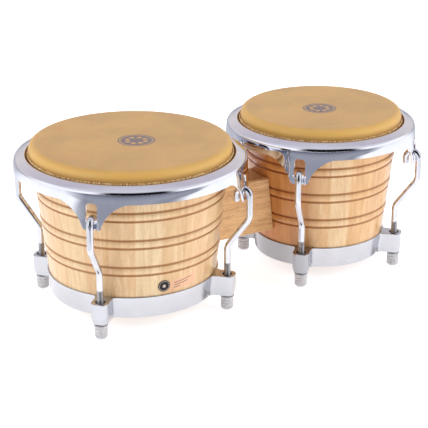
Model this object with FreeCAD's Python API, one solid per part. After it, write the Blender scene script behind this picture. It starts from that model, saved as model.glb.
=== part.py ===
import FreeCAD, Part
import math
import os

# A pair of tunable wooden bongo drums joined by a centre block. Units are millimetres.
# +Z is up and -Y is the player's view of the front. The large drum is on the -X side.
# The origin lies on the ground under the middle of the outline: z = 0 is the bottom of the
# eight nut caps that the drums stand on.

# ---- Driving dimensions ----
LARGE_HEAD_RADIUS = 109.0      # outside of the skin on an 8 5/8 inch drum
SMALL_HEAD_RADIUS = 91.5       # outside of the skin on a 7 1/4 inch drum
CENTRE_DISTANCE = 242.0        # between the two drum axes
LUG_ANGLES = (45.0, 135.0, 225.0, 315.0)

# Shell
SHELL_TOP_Z = 183.0
SHELL_WALL = 12.0
SHELL_TAPER = 0.111            # radius lost per millimetre of height, going down
SHOULDER_RADIUS = 6.0          # round on the outside of the bearing edge
BEARING_CHAMFER = 5.0          # slope on the inside of the bearing edge
BEAD_HEIGHTS = (133.9, 102.7, 71.6)
BEAD_HALF_WIDTH = 3.4
BEAD_PROUD = 0.8
GROOVE_WIDTH = 2.6
GROOVE_DEPTH = 1.3

# Head: skin, flesh hoop and the skin that is wrapped round the hoop
SKIN_THICKNESS = 2.0
SKIN_SKIRT_BOTTOM_Z = 170.5
COLLAR_GAP = 0.5               # between the stretched skin and the collar that moves past it
COLLAR_THICKNESS = 1.7
COLLAR_TOP_Z = 174.5
HOOP_Z = 165.0
HOOP_WIRE_RADIUS = 3.4
WRAP_RADIUS = 5.2              # outside of the skin wrapped round the hoop
WRAP_OPENING = 50.0            # degrees of the wrap left open underneath

# Counterhoop rim
RIM_LIP_CLEARANCE = 3.0        # from the skin to the inside of the lip
RIM_OUTSET = 16.2              # from the skin to the outside of the skirt
RIM_SHEET = 2.6
RIM_BOTTOM_Z = 156.0
RIM_TOP_Z = 173.0
RIM_SHOULDER = 4.8
RIM_SHOULDER_Z = 166.4         # middle of the shoulder's curve
RIM_SEAT = 3.5                 # flat underside of the lip, which bears on the flesh hoop
LIP_ROLL = 2.0

# Rim ears
EAR_OUTSET = 17.2              # from the skin to the outside of an ear, at its middle
EAR_CURVE_RADIUS = 95.0        # an ear is bent tighter than the skirt that it grows from
EAR_THICKNESS = 4.0
EAR_BOTTOM_Z = 128.5
EAR_HALF_WIDTH = 10.8          # at the bottom
EAR_MIDDLE_HALF_WIDTH = 17.8   # half way up the sweep into the skirt
EAR_MIDDLE_Z = 145.5
EAR_SWEEP_HALF_WIDTH = 36.0    # where the sweep meets the skirt
EAR_CORNER = 4.5
EAR_BLEND_Z = 154.0            # above this height an ear slopes back into the skirt
EAR_TOP_Z = 166.0
SLOT_HALF_WIDTH = 5.8
SLOT_CORNER = 4.2
SLOT_BOTTOM_Z = 136.6
SLOT_TOP_Z = 156.5

# Tuning lugs
ROD_RADIUS = 3.55
HOOK_RADIUS = 7.1              # centre line of the hook
HOOK_CENTRE_OUTSET = 15.4      # from the skin to the middle of the hook
HOOK_CENTRE_Z = 133.85
HOOK_TIP_Z = 126.0
LUG_LOWER_INSET = 1.8          # the threaded end stands this far inside the skin radius
UPPER_BEND_Z = 107.5
LOWER_BEND_Z = 74.0
BEND_RADIUS = 14.0
LUG_END_Z = 7.0
TIP_ROUND = 1.2

# Bottom ring
RING_BOTTOM_Z = 17.5
RING_TOP_Z = 41.5
RING_WALL = 1.6
RING_FLOOR = 2.5
RING_CORNER = 2.0
SEAT_GAP = 0.1
BOSS_TAPER_Z = 25.0            # below this height the nose of a boss slopes back
BOSS_NOSE = 8.6                # from the lug axis out to the nose
BOSS_HALF_WIDTH = 9.3
BOSS_CORNER = 6.0
BOSS_FOOT_SETBACK = 1.2        # at the bottom, the nose stands back this far
BOSS_FOOT_NARROWING = 1.6
BOSS_FILLET = 6.0              # in plan, where a boss meets the ring
BOSS_FILLET_INSET = 16.5       # from the lug axis in to the end of the fillet
BOSS_ROOT_INSET = 21.5         # from the lug axis in to the root of a boss
BOSS_HOLE_RADIUS = 5.6

# Washers, nuts and caps under the bosses
WASHER_RADIUS = 7.6
WASHER_HOLE_RADIUS = 3.95
WASHER_THICKNESS = 0.9
NUT_TOP_GAP = 0.1
NUT_HEIGHT = 10.0
NUT_ACROSS_FLATS = 10.6
NUT_BORE_RADIUS = ROD_RADIUS + 0.05
CAP_RADIUS = 7.0
CAP_TOP_SETBACK = 0.4          # from the top of the nut down to the rim of the cap
CAP_ROUND = 4.2
CAP_FLOOR = 2.2
CAP_POCKET_RADIUS = 4.2
CAP_RIB_COUNT = 3
CAP_RIB_START_Z = 5.4
CAP_RIB_PITCH = 3.6
CAP_GROOVE_RADIUS = 0.6

# Centre block and its two through bolts
BLOCK_HALF_WIDTH = 20.5
BLOCK_BOTTOM_Z = 55.5
BLOCK_TOP_Z = 118.8
BLOCK_CHAMFER = 1.2
BLOCK_FIT = 0.1                # from the beads to the ends of the block
BOLT_RADIUS = 4.0
BOLT_HOLE_RADIUS = 4.2
BOLT_SPACING = 34.0
BOLT_HEX = 13.0
BOLT_HEAD_HEIGHT = 5.3
BOLT_NUT_HEIGHT = 6.5
BOLT_WASHER_RADIUS = 8.0
BOLT_WASHER_THICKNESS = 1.6
BOLT_TAIL = 3.0                # thread past the nut
SADDLE_HALF_WIDTH = 18.0
SADDLE_HEIGHT = 58.0
SADDLE_THICKNESS = 5.0         # at its thin, lower end
SADDLE_FIT = 0.1

# Round badge on the front of the large shell
BADGE_RADIUS = 6.5
BADGE_THICKNESS = 0.7
BADGE_ANGLE = 263.8
BADGE_Z = 51.8

# ---- Worked out from the driving dimensions ----
SHELL_BOTTOM_Z = RING_BOTTOM_Z + RING_FLOOR
SHOULDER_Z = SHELL_TOP_Z - SHOULDER_RADIUS
WASHER_BOTTOM_Z = RING_BOTTOM_Z - WASHER_THICKNESS
NUT_TOP_Z = WASHER_BOTTOM_Z - NUT_TOP_GAP
NUT_BOTTOM_Z = NUT_TOP_Z - NUT_HEIGHT
BLOCK_CENTRE_Z = (BLOCK_BOTTOM_Z + BLOCK_TOP_Z) / 2.0
LARGE_X = -(CENTRE_DISTANCE - (LARGE_HEAD_RADIUS - SMALL_HEAD_RADIUS)) / 2.0
SMALL_X = LARGE_X + CENTRE_DISTANCE

UP = FreeCAD.Vector(0, 0, 1)
ALONG_X = FreeCAD.Vector(1, 0, 0)
ORIGIN = FreeCAD.Vector(0, 0, 0)
FULL_TURN = 360.0
TOLERANCE = 1e-6


# ---- Small helpers ----
def point(radius, z):
    """A point in the half plane that a profile is drawn in."""
    return FreeCAD.Vector(radius, 0, z)


def arc_point(centre, radius, degrees):
    angle = math.radians(degrees)
    return centre + FreeCAD.Vector(radius * math.cos(angle), 0, radius * math.sin(angle))


def line(start, end):
    return Part.LineSegment(start, end).toShape()


def arc(centre, radius, start, end):
    """An arc in the profile plane, from one angle to another, in degrees."""
    middle = (start + end) / 2.0
    return Part.Arc(*[arc_point(centre, radius, a) for a in (start, middle, end)]).toShape()


def chain(*items):
    """A closed wire through edges, with a straight line wherever two items don't touch."""
    edges = []
    ends = [(e, e) if isinstance(e, FreeCAD.Vector) else (e.firstVertex(True).Point, e.lastVertex(True).Point)
            for e in items]
    for index, item in enumerate(items):
        if not isinstance(item, FreeCAD.Vector):
            edges.append(item)
        here = ends[index][1]
        following = ends[(index + 1) % len(items)][0]
        if here.distanceToPoint(following) > TOLERANCE:
            edges.append(line(here, following))
    return Part.Wire(edges)


def turned(wire):
    """The solid of revolution of a closed profile about the Z axis."""
    return Part.Face(wire).revolve(ORIGIN, UP, FULL_TURN)


def around(shape, degrees):
    turned_shape = shape.copy()
    turned_shape.rotate(ORIGIN, UP, degrees)
    return turned_shape


def hexagon_prism(across_flats, height, base, direction):
    """A hexagonal prism that grows from base along direction."""
    corner = across_flats / math.sqrt(3.0)
    turns = [math.radians(60 * k) for k in range(6)]
    corners = [FreeCAD.Vector(corner * math.cos(a), corner * math.sin(a), 0) for a in turns]
    prism = Part.Face(Part.makePolygon(corners + corners[:1])).extrude(UP * height)
    prism.Placement = FreeCAD.Placement(base, FreeCAD.Rotation(UP, direction))
    return prism


def shell_radius(head_radius, z):
    """Outside of the tapered shell at a height."""
    return head_radius - SKIN_THICKNESS - SHELL_TAPER * (SHOULDER_Z - z)


def shell_cone(head_radius, low, high, offset):
    """A solid cone, between two heights, that follows the outside of the shell at an offset."""
    return Part.makeCone(shell_radius(head_radius, low) + offset, shell_radius(head_radius, high) + offset,
                         high - low, point(0, low), UP)


# ---- Pieces of one drum, about its own axis ----
def bead_outline(head_radius, bead_z):
    """A turned bead between two round grooves, drawn from the top down."""
    heights = [bead_z + BEAD_HALF_WIDTH + GROOVE_WIDTH, bead_z + BEAD_HALF_WIDTH,
               bead_z - BEAD_HALF_WIDTH, bead_z - BEAD_HALF_WIDTH - GROOVE_WIDTH]
    depths = [-GROOVE_DEPTH, BEAD_PROUD, -GROOVE_DEPTH]
    edges = []
    for top, bottom, depth in zip(heights, heights[1:], depths):
        middle = (top + bottom) / 2.0
        edges.append(Part.Arc(point(shell_radius(head_radius, top), top),
                              point(shell_radius(head_radius, middle) + depth, middle),
                              point(shell_radius(head_radius, bottom), bottom)).toShape())
    return edges


def drum_shell(head_radius):
    """Stave shell with turned beads and a rounded bearing edge, before the bolt holes."""
    shoulder_r = shell_radius(head_radius, SHOULDER_Z)
    inner_top_z = SHELL_TOP_Z - BEARING_CHAMFER
    inner_top_r = shell_radius(head_radius, inner_top_z) - SHELL_WALL
    beads = [edge for z in BEAD_HEIGHTS for edge in bead_outline(head_radius, z)]
    shoulder = arc(point(shoulder_r - SHOULDER_RADIUS, SHOULDER_Z), SHOULDER_RADIUS, 90, 0)
    return turned(chain(
        point(inner_top_r, inner_top_z),
        point(inner_top_r + BEARING_CHAMFER, SHELL_TOP_Z),
        shoulder,
        *beads,
        point(shell_radius(head_radius, SHELL_BOTTOM_Z), SHELL_BOTTOM_Z),
        point(shell_radius(head_radius, SHELL_BOTTOM_Z) - SHELL_WALL, SHELL_BOTTOM_Z)))


def head_skin(head_radius):
    """Flat skin, its shoulder and the stretched part that runs down beside the shell."""
    shoulder_centre = point(head_radius - SKIN_THICKNESS - SHOULDER_RADIUS, SHOULDER_Z)
    return turned(chain(
        point(0, SHELL_TOP_Z),
        point(0, SHELL_TOP_Z + SKIN_THICKNESS),
        arc(shoulder_centre, SHOULDER_RADIUS + SKIN_THICKNESS, 90, 0),
        point(head_radius, SKIN_SKIRT_BOTTOM_Z),
        point(head_radius - SKIN_THICKNESS, SKIN_SKIRT_BOTTOM_Z),
        arc(shoulder_centre, SHOULDER_RADIUS, 0, 90)))


def hoop_centre(head_radius):
    return point(head_radius + COLLAR_GAP + WRAP_RADIUS, HOOP_Z)


def flesh_hoop(head_radius):
    """Round steel wire hoop that the skin is wrapped on."""
    return Part.makeTorus(hoop_centre(head_radius).x, HOOP_WIRE_RADIUS, point(0, HOOP_Z), UP)


def head_collar(head_radius):
    """Skin wrapped round the hoop, with its end standing up between the rim lip and the head."""
    centre = hoop_centre(head_radius)
    inner = head_radius + COLLAR_GAP
    open_from = 270.0 - WRAP_OPENING / 2.0
    open_to = 270.0 + WRAP_OPENING / 2.0 - FULL_TURN
    wrap = chain(
        arc(centre, WRAP_RADIUS, open_from, open_to),
        arc(centre, HOOP_WIRE_RADIUS, open_to, open_from))
    edge = COLLAR_THICKNESS / 2.0
    upstand = chain(
        point(inner, HOOP_Z),
        point(inner, COLLAR_TOP_Z - edge),
        arc(point(inner + edge, COLLAR_TOP_Z - edge), edge, 180, 0),
        point(inner + COLLAR_THICKNESS, HOOP_Z))
    return turned(wrap).fuse(turned(upstand)).removeSplitter()


def rim_ring(head_radius):
    """Rolled rim: a rounded lip, a sloping top, a shoulder and a plain skirt with a rounded lower edge."""
    outer = head_radius + RIM_OUTSET
    lip = head_radius + RIM_LIP_CLEARANCE
    roll = point(lip + LIP_ROLL, RIM_TOP_Z - LIP_ROLL)
    shoulder = point(outer - RIM_SHOULDER, RIM_SHOULDER_Z)
    across = shoulder - roll
    tangent = math.acos((LIP_ROLL - RIM_SHOULDER) / across.Length)
    slope = math.degrees(math.atan2(across.z, across.x) + tangent)
    edge = RIM_SHEET / 2.0
    return turned(chain(
        arc(point(outer - edge, RIM_BOTTOM_Z + edge), edge, -180, 0),
        arc(shoulder, RIM_SHOULDER, 0, slope),
        arc(roll, LIP_ROLL, slope, 180),
        point(lip, RIM_TOP_Z - RIM_SHEET),
        point(lip + RIM_SEAT, RIM_TOP_Z - RIM_SHEET),
        arc(shoulder, RIM_SHOULDER - RIM_SHEET, slope, 0)))


def facing(y, z):
    """A point in the YZ plane, which is an ear seen from outside the drum."""
    return FreeCAD.Vector(0, y, z)


def corner_arc(centre, radius, start, end):
    """A round corner in the YZ plane."""
    points = []
    for degrees in (start, (start + end) / 2.0, end):
        angle = math.radians(degrees)
        points.append(centre + facing(radius * math.cos(angle), radius * math.sin(angle)))
    return Part.Arc(*points).toShape()


def ear_outline():
    """Front view of one ear: a rounded bottom whose sides sweep out into the skirt."""
    low = EAR_BOTTOM_Z + EAR_CORNER
    inset = EAR_HALF_WIDTH - EAR_CORNER
    sweep = [facing(EAR_HALF_WIDTH, low), facing(EAR_MIDDLE_HALF_WIDTH, EAR_MIDDLE_Z),
             facing(EAR_SWEEP_HALF_WIDTH, RIM_BOTTOM_Z + RIM_SHEET / 2.0)]
    mirrored = [facing(-p.y, p.z) for p in reversed(sweep)]
    return chain(
        corner_arc(facing(inset, low), EAR_CORNER, -90, 0),
        Part.Arc(*sweep).toShape(),
        facing(EAR_SWEEP_HALF_WIDTH, EAR_TOP_Z),
        facing(-EAR_SWEEP_HALF_WIDTH, EAR_TOP_Z),
        Part.Arc(*mirrored).toShape(),
        corner_arc(facing(-inset, low), EAR_CORNER, 180, 270))


def slot_outline():
    """Slot that a hook passes through, with a flat bottom and round upper corners."""
    high = SLOT_TOP_Z - SLOT_CORNER
    inset = SLOT_HALF_WIDTH - SLOT_CORNER
    return chain(
        facing(-SLOT_HALF_WIDTH, SLOT_BOTTOM_Z),
        facing(SLOT_HALF_WIDTH, SLOT_BOTTOM_Z),
        corner_arc(facing(inset, high), SLOT_CORNER, 0, 90),
        corner_arc(facing(-inset, high), SLOT_CORNER, 90, 180))


def ear(head_radius):
    """One ear along X: a bent plate below the skirt that slopes back into it above."""
    reach = 2.0 * head_radius
    centre_r = head_radius + EAR_OUTSET - EAR_CURVE_RADIUS
    top_radius = head_radius + RIM_OUTSET - centre_r
    joint_z = RIM_BOTTOM_Z + RIM_SHEET / 2.0
    solid = Part.makeCylinder(EAR_CURVE_RADIUS, EAR_BLEND_Z - EAR_BOTTOM_Z, point(centre_r, EAR_BOTTOM_Z), UP)
    solid = solid.fuse(Part.makeCone(EAR_CURVE_RADIUS, top_radius, EAR_TOP_Z - EAR_BLEND_Z,
                                     point(centre_r, EAR_BLEND_Z), UP))
    solid = solid.common(Part.Face(ear_outline()).extrude(ALONG_X * reach))
    behind = Part.makeCylinder(EAR_CURVE_RADIUS - EAR_THICKNESS, joint_z, point(centre_r, 0), UP)
    inside_rim = Part.makeCylinder(head_radius + RIM_OUTSET - RIM_SHEET / 2.0, SHELL_TOP_Z - joint_z,
                                   point(0, joint_z), UP)
    return solid.cut([behind, inside_rim])


def counterhoop(head_radius):
    """Rim with four slotted ears."""
    slot = Part.Face(slot_outline()).extrude(ALONG_X * 2.0 * head_radius)
    plate = ear(head_radius)
    rim = rim_ring(head_radius).fuse([around(plate, angle) for angle in LUG_ANGLES]).removeSplitter()
    return rim.cut([around(slot, angle) for angle in LUG_ANGLES])


def lug_axis_radius(head_radius):
    """Where the threaded ends stand, from the drum's axis."""
    return head_radius - LUG_LOWER_INSET


def lug(head_radius):
    """Hooked rod along X: tip, hook, upper straight, joggle inwards and threaded lower end."""
    hook_r = head_radius + HOOK_CENTRE_OUTSET
    upper_r = hook_r + HOOK_RADIUS
    lower_r = lug_axis_radius(head_radius)
    slope = math.atan2(upper_r - lower_r, UPPER_BEND_Z - LOWER_BEND_Z)
    setback = BEND_RADIUS * math.tan(slope / 2.0)
    degrees = math.degrees(slope)
    upper_centre = point(upper_r - BEND_RADIUS, UPPER_BEND_Z + setback)
    lower_centre = point(lower_r + BEND_RADIUS, LOWER_BEND_Z - setback)
    tip = point(hook_r - HOOK_RADIUS, HOOK_TIP_Z)
    edges = [
        line(tip, point(hook_r - HOOK_RADIUS, HOOK_CENTRE_Z)),
        arc(point(hook_r, HOOK_CENTRE_Z), HOOK_RADIUS, 180, 0),
        line(point(upper_r, HOOK_CENTRE_Z), point(upper_r, upper_centre.z)),
        arc(upper_centre, BEND_RADIUS, 0, -degrees),
        line(arc_point(upper_centre, BEND_RADIUS, -degrees),
             arc_point(lower_centre, BEND_RADIUS, 180 - degrees)),
        arc(lower_centre, BEND_RADIUS, 180 - degrees, 180),
        line(point(lower_r, lower_centre.z), point(lower_r, LUG_END_Z))]
    section = Part.Wire(Part.makeCircle(ROD_RADIUS, tip, UP))
    rod = Part.Wire(edges).makePipeShell([section], True, True)
    ends = [edge for edge in rod.Edges
            if edge.Closed and min(abs(edge.CenterOfMass.z - z) for z in (HOOK_TIP_Z, LUG_END_Z)) < TIP_ROUND]
    return rod.makeChamfer(TIP_ROUND, ends)


def boss_outline(lug_radius, setback, narrowing, z):
    """Plan of a boss at a height: round-cornered nose, straight sides and fillets at the root."""
    nose_x = lug_radius + BOSS_NOSE - setback
    side = BOSS_HALF_WIDTH - narrowing
    corner_x = nose_x - BOSS_CORNER
    fillet_x = lug_radius - BOSS_FILLET_INSET + BOSS_FILLET
    root_x = lug_radius - BOSS_ROOT_INSET
    diagonal = math.sqrt(0.5)

    def at(x, y):
        return FreeCAD.Vector(x, y, z)

    def half(sign):
        corner_y = side - BOSS_CORNER
        corner = [at(nose_x, sign * corner_y),
                  at(corner_x + BOSS_CORNER * diagonal, sign * (corner_y + BOSS_CORNER * diagonal)),
                  at(corner_x, sign * side)]
        fillet_y = side + BOSS_FILLET
        fillet = [at(fillet_x, sign * side),
                  at(fillet_x - BOSS_FILLET * diagonal, sign * (fillet_y - BOSS_FILLET * diagonal)),
                  at(fillet_x - BOSS_FILLET, sign * fillet_y)]
        return corner, fillet

    corner, fillet = half(1)
    low_corner, low_fillet = half(-1)
    return chain(
        Part.Arc(*corner).toShape(),
        Part.Arc(*fillet).toShape(),
        at(root_x, fillet[2].y),
        at(root_x, low_fillet[2].y),
        Part.Arc(*reversed(low_fillet)).toShape(),
        Part.Arc(*reversed(low_corner)).toShape())


def bottom_ring(head_radius):
    """Cast ring that cups the bottom of the shell and carries the four lug bosses."""
    lug_radius = lug_axis_radius(head_radius)
    outer_top = shell_radius(head_radius, RING_TOP_Z) + RING_WALL
    outer_bottom = shell_radius(head_radius, RING_BOTTOM_Z) + RING_WALL
    mouth = shell_radius(head_radius, SHELL_BOTTOM_Z) - SHELL_WALL
    body = turned(chain(
        point(mouth, RING_BOTTOM_Z),
        arc(point(outer_bottom - RING_CORNER, RING_BOTTOM_Z + RING_CORNER), RING_CORNER, -90, 0),
        point(outer_top, RING_TOP_Z),
        point(mouth, RING_TOP_Z)))
    plan = boss_outline(lug_radius, 0.0, 0.0, BOSS_TAPER_Z)
    foot_plan = boss_outline(lug_radius, BOSS_FOOT_SETBACK, BOSS_FOOT_NARROWING, RING_BOTTOM_Z)
    boss = Part.Face(plan).extrude(UP * (RING_TOP_Z - BOSS_TAPER_Z))
    boss = boss.fuse(Part.makeLoft([foot_plan, plan], True, True))
    hole = Part.makeCylinder(BOSS_HOLE_RADIUS, RING_TOP_Z, point(lug_radius, 0), UP)
    seat = shell_cone(head_radius, SHELL_BOTTOM_Z, RING_TOP_Z + RING_FLOOR, SEAT_GAP)
    opening = Part.makeCylinder(mouth, RING_TOP_Z, ORIGIN, UP)
    ring = body.fuse([around(boss, angle) for angle in LUG_ANGLES])
    return ring.cut([seat, opening] + [around(hole, angle) for angle in LUG_ANGLES]).removeSplitter()


def boss_washer(head_radius):
    """Thin washer under one boss."""
    base = point(lug_axis_radius(head_radius), WASHER_BOTTOM_Z)
    disc = Part.makeCylinder(WASHER_RADIUS, WASHER_THICKNESS, base, UP)
    return disc.cut(Part.makeCylinder(WASHER_HOLE_RADIUS, WASHER_THICKNESS, base, UP))


def tuning_nut(head_radius):
    """Hexagonal nut on the threaded end of one lug."""
    base = point(lug_axis_radius(head_radius), NUT_BOTTOM_Z)
    prism = hexagon_prism(NUT_ACROSS_FLATS, NUT_HEIGHT, base, UP)
    return prism.cut(Part.makeCylinder(NUT_BORE_RADIUS, NUT_HEIGHT, base, UP))


def nut_cap(head_radius):
    """Ribbed cap pressed over a nut. It covers the end of the thread and stands on the ground."""
    lug_radius = lug_axis_radius(head_radius)
    height = NUT_TOP_Z - CAP_TOP_SETBACK
    cap = turned(chain(
        point(0, 0),
        arc(point(CAP_RADIUS - CAP_ROUND, CAP_ROUND), CAP_ROUND, -90, 0),
        point(CAP_RADIUS, height),
        point(0, height)))
    heights = [CAP_RIB_START_Z + k * CAP_RIB_PITCH for k in range(CAP_RIB_COUNT)]
    grooves = [Part.makeTorus(CAP_RADIUS, CAP_GROOVE_RADIUS, point(0, z), UP) for z in heights]
    well = Part.makeCylinder(CAP_POCKET_RADIUS, height, point(0, CAP_FLOOR), UP)
    socket = hexagon_prism(NUT_ACROSS_FLATS, NUT_HEIGHT, point(0, NUT_BOTTOM_Z), UP)
    cap = cap.cut(grooves + [well, socket])
    cap.translate(point(lug_radius, 0))
    return cap


# ---- Pieces that join the two drums ----
def bolt_heights():
    return (BLOCK_CENTRE_Z - BOLT_SPACING / 2.0, BLOCK_CENTRE_Z + BOLT_SPACING / 2.0)


def bolt_holes():
    """Cutters for the two through bolts, from one drum's axis to the other's."""
    return [Part.makeCylinder(BOLT_HOLE_RADIUS, CENTRE_DISTANCE, point(LARGE_X, z), ALONG_X)
            for z in bolt_heights()]


def saddle_face(head_radius):
    """How far a saddle's flat face stands from its drum's axis."""
    low = BLOCK_CENTRE_Z - SADDLE_HEIGHT / 2.0
    return shell_radius(head_radius, low) - SHELL_WALL - SADDLE_THICKNESS


def saddle(head_radius):
    """Wedge on the +X side of a shell's inside: curved against the wall, flat and upright for the bolts."""
    low = BLOCK_CENTRE_Z - SADDLE_HEIGHT / 2.0
    face = saddle_face(head_radius)
    wedge = Part.makeBox(head_radius, 2.0 * SADDLE_HALF_WIDTH, SADDLE_HEIGHT,
                         FreeCAD.Vector(face, -SADDLE_HALF_WIDTH, low))
    return wedge.common(shell_cone(head_radius, low, low + SADDLE_HEIGHT, -SHELL_WALL - SADDLE_FIT))


def centre_block():
    """Hardwood block with hollowed ends that rest on the beads of both shells."""
    length = SMALL_X - LARGE_X
    block = Part.makeBox(length, 2.0 * BLOCK_HALF_WIDTH, BLOCK_TOP_Z - BLOCK_BOTTOM_Z,
                         FreeCAD.Vector(LARGE_X, -BLOCK_HALF_WIDTH, BLOCK_BOTTOM_Z))
    long_edges = [edge for edge in block.Edges if abs(edge.Length - length) < TOLERANCE]
    block = block.makeChamfer(BLOCK_CHAMFER, long_edges)
    cones = []
    for head_radius, centre_x in ((LARGE_HEAD_RADIUS, LARGE_X), (SMALL_HEAD_RADIUS, SMALL_X)):
        cone = shell_cone(head_radius, RING_TOP_Z, RIM_BOTTOM_Z, BEAD_PROUD + BLOCK_FIT)
        cone.translate(point(centre_x, 0))
        cones.append(cone)
    return block.cut(cones + bolt_holes())


def bolt_faces():
    """The X of the saddles' flat faces in the large and in the small drum."""
    return LARGE_X + saddle_face(LARGE_HEAD_RADIUS), SMALL_X - saddle_face(SMALL_HEAD_RADIUS)


def centre_bolt(z):
    """Hexagon-head bolt with its head in the large drum."""
    start, end = bolt_faces()
    start -= BOLT_WASHER_THICKNESS
    end += BOLT_WASHER_THICKNESS + BOLT_NUT_HEIGHT + BOLT_TAIL
    shank = Part.makeCylinder(BOLT_RADIUS, end - start, point(start, z), ALONG_X)
    return shank.fuse(hexagon_prism(BOLT_HEX, BOLT_HEAD_HEIGHT, point(start, z), -ALONG_X)).removeSplitter()


def centre_nut(z):
    """Nut on the end of a centre bolt, in the small drum."""
    base = point(bolt_faces()[1] + BOLT_WASHER_THICKNESS, z)
    prism = hexagon_prism(BOLT_HEX, BOLT_NUT_HEIGHT, base, ALONG_X)
    return prism.cut(Part.makeCylinder(BOLT_RADIUS, BOLT_NUT_HEIGHT, base, ALONG_X))


def centre_washer(x, z):
    disc = Part.makeCylinder(BOLT_WASHER_RADIUS, BOLT_WASHER_THICKNESS, point(x, z), ALONG_X)
    return disc.cut(Part.makeCylinder(BOLT_HOLE_RADIUS, BOLT_WASHER_THICKNESS, point(x, z), ALONG_X))


def badge():
    """Thin round badge that follows the front of the large shell."""
    low = BADGE_Z - 2.0 * BADGE_RADIUS
    high = BADGE_Z + 2.0 * BADGE_RADIUS
    disc = Part.makeCylinder(BADGE_RADIUS, LARGE_HEAD_RADIUS, point(0, BADGE_Z), ALONG_X)
    disc = around(disc, BADGE_ANGLE)
    disc = disc.common(shell_cone(LARGE_HEAD_RADIUS, low, high, BADGE_THICKNESS))
    return disc.cut(shell_cone(LARGE_HEAD_RADIUS, low, high, 0.0))


# ---- Export ----
def export(name, shape, centre_x=0.0):
    placed = shape.copy()
    placed.translate(point(centre_x, 0))
    placed.exportStep("parts/%s.step" % name)


def export_drum(size, head_radius, centre_x):
    """Every piece of one drum."""
    shell = drum_shell(head_radius)
    shell.translate(point(centre_x, 0))
    export(size + "_shell", shell.cut(bolt_holes()))
    export(size + "_head_skin", head_skin(head_radius), centre_x)
    export(size + "_head_collar", head_collar(head_radius), centre_x)
    export(size + "_flesh_hoop", flesh_hoop(head_radius), centre_x)
    export(size + "_rim", counterhoop(head_radius), centre_x)
    export(size + "_bottom_ring", bottom_ring(head_radius), centre_x)
    pieces = {"lug": lug(head_radius), "tuning_nut": tuning_nut(head_radius), "nut_cap": nut_cap(head_radius)}
    for number, angle in enumerate(LUG_ANGLES, start=1):
        for kind, shape in pieces.items():
            export("%s_%s_%d" % (size, kind, number), around(shape, angle), centre_x)
    washer = boss_washer(head_radius)
    export(size + "_boss_washers", Part.makeCompound([around(washer, a) for a in LUG_ANGLES]), centre_x)


def export_joining_pieces():
    """The centre block, its fasteners and the badge."""
    holes = bolt_holes()
    export("centre_block", centre_block())
    large_saddle = saddle(LARGE_HEAD_RADIUS)
    large_saddle.translate(point(LARGE_X, 0))
    small_saddle = around(saddle(SMALL_HEAD_RADIUS), 180.0)
    small_saddle.translate(point(SMALL_X, 0))
    export("large_saddle", large_saddle.cut(holes))
    export("small_saddle", small_saddle.cut(holes))
    large_face, small_face = bolt_faces()
    for place, z in zip(("lower", "upper"), bolt_heights()):
        export("centre_bolt_" + place, centre_bolt(z))
        export("centre_nut_" + place, centre_nut(z))
        export("centre_washers_" + place, Part.makeCompound([
            centre_washer(large_face - BOLT_WASHER_THICKNESS, z), centre_washer(small_face, z)]))
    export("badge", badge(), LARGE_X)


os.makedirs("parts", exist_ok=True)
export_drum("large", LARGE_HEAD_RADIUS, LARGE_X)
export_drum("small", SMALL_HEAD_RADIUS, SMALL_X)
export_joining_pieces()
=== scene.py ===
import bpy
import bmesh
from math import acos, asin, atan2, cos, degrees, dist, hypot, pi, radians, sin, sqrt, tan, tau
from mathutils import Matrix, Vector, geometry, noise


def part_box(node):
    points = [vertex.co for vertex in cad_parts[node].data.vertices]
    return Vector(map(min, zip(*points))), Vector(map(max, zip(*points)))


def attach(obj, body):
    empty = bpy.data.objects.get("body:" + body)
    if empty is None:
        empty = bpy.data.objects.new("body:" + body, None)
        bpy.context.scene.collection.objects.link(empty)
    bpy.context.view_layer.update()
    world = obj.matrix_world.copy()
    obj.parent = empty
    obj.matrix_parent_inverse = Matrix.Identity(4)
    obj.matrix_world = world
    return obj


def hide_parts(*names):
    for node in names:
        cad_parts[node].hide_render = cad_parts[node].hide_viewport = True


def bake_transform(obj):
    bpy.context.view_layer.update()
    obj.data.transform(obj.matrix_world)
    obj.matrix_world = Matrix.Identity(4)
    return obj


# A pair of bongo drums on a pale studio floor. Units are metres, in the frame's own axes: the drums
# stand on z = 0, the large one on the -X side, and the player is on the -Y side.
# Each drum's pieces are built about the Z axis of that drum, which is read from the frame.

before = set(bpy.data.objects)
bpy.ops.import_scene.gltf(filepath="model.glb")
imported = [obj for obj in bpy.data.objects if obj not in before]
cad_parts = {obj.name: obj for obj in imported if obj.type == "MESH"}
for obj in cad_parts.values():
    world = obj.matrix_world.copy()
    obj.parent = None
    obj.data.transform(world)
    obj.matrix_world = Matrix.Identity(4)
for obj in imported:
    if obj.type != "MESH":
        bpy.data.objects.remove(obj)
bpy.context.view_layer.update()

# ---- Sizes shared by both drums ----
LUG_TURNS = [radians(angle) for angle in (45, 135, 225, 315)]

# Shell
BEAD_HEIGHTS = (0.1339, 0.1027, 0.0716)
GROOVE_OFFSET = 0.0047  # from the middle of a bead to the middle of either groove
GROOVE_HALF_WIDTHS = (0.0020, 0.0004)  # where the dark colour starts, and where it is full
SHELL_TAPER = 0.111  # radius lost per metre of height, going down
SHELL_WALL = 0.012
STAVE_COUNT = 22

# Label beside the badge: a tinted patch with three plain rules, in degrees about the drum's axis and
# metres up. Of a pair, the ink starts at the first number and is full at the second.
LABEL_TURN = -82.5
LABEL_Z = 0.0515
LABEL_SLANT = 0.012  # metres up per radian
LABEL_HALF_TURNS = (10.6, 9.9)
LABEL_HALF_HEIGHTS = (0.0064, 0.0060)
LABEL_RULES = ((0.0030, -89.0, -75.5), (0.0002, -89.0, -78.5), (-0.0026, -89.0, -84.0))
RULE_HALF_WIDTHS = (0.00055, 0.00035)
RULE_END_FADE = 0.004

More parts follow.
